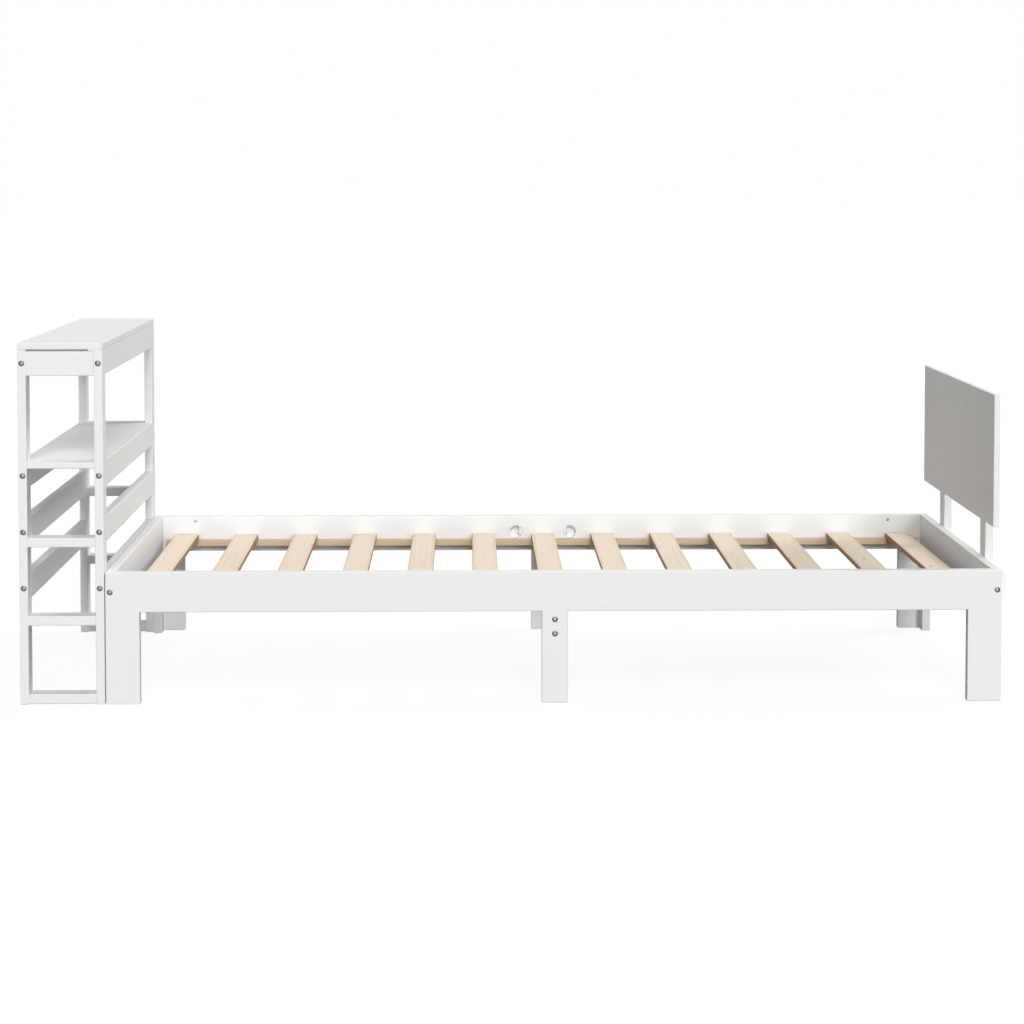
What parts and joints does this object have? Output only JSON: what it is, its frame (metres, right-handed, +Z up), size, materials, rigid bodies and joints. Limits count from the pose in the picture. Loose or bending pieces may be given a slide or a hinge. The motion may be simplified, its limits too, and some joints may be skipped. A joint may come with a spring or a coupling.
{
  "type": "bed frame",
  "caption": "Single bed frame of white painted pine with bare slats, a tall narrow bookcase across one end and a plain panel headboard on posts.",
  "frame": {"origin": "middle of the floor area that the whole frame covers, at floor level", "axes": "+X along the bed from the bookcase to the headboard panel, +Y across the bed, +Z up"},
  "size_m": [2.269, 0.954, 0.829],
  "materials": {
    "painted_pine": "white lacquer over pine, satin, faint grain",
    "bare_pine": "planed bare pine, matt",
    "beech": "turned beech, matt",
    "zinc_steel": "zinc-plated steel"
  },
  "bodies": {
    "root": {"apron_far": "painted_pine", "apron_near": "painted_pine", "barrel_nuts": "zinc_steel", "batten_far": "bare_pine", "batten_near": "bare_pine", "book_rail_left_1": "painted_pine", "book_rail_left_2": "painted_pine", "book_rail_left_3": "painted_pine", "book_rail_left_4": "painted_pine", "book_rail_right_1": "painted_pine", "book_rail_right_2": "painted_pine", "book_rail_right_3": "painted_pine", "book_rail_right_4": "painted_pine", "bookcase_shelf": "painted_pine", "bookcase_top": "painted_pine", "connector_bolts": "zinc_steel", "dowels": "beech", "end_rail_left": "painted_pine", "end_rail_right": "painted_pine", "half_moon_nuts": "zinc_steel", "headboard_crossbar": "painted_pine", "headboard_panel": "painted_pine", "headboard_post_far": "painted_pine", "headboard_post_near": "painted_pine", "leg_far_left": "painted_pine", "leg_far_right": "painted_pine", "leg_near_left": "painted_pine", "leg_near_right": "painted_pine", "mid_leg_blocks": "bare_pine", "mid_leg_far": "painted_pine", "mid_leg_near": "painted_pine", "post_far_left": "painted_pine", "post_far_right": "painted_pine", "post_near_left": "painted_pine", "post_near_right": "painted_pine", "rail_studs": "zinc_steel", "rung_far_1": "painted_pine", "rung_far_2": "painted_pine", "rung_far_3": "painted_pine", "rung_near_1": "painted_pine", "rung_near_2": "painted_pine", "rung_near_3": "painted_pine", "side_rail_far_left": "painted_pine", "side_rail_far_right": "painted_pine", "side_rail_near_left": "painted_pine", "side_rail_near_right": "painted_pine", "slat_01": "bare_pine", "slat_02": "bare_pine", "slat_03": "bare_pine", "slat_04": "bare_pine", "slat_05": "bare_pine", "slat_06": "bare_pine", "slat_07": "bare_pine", "slat_08": "bare_pine", "slat_09": "bare_pine", "slat_10": "bare_pine", "slat_11": "bare_pine", "slat_12": "bare_pine", "slat_13": "bare_pine", "wood_screws": "zinc_steel"}
  },
  "joints": []
}
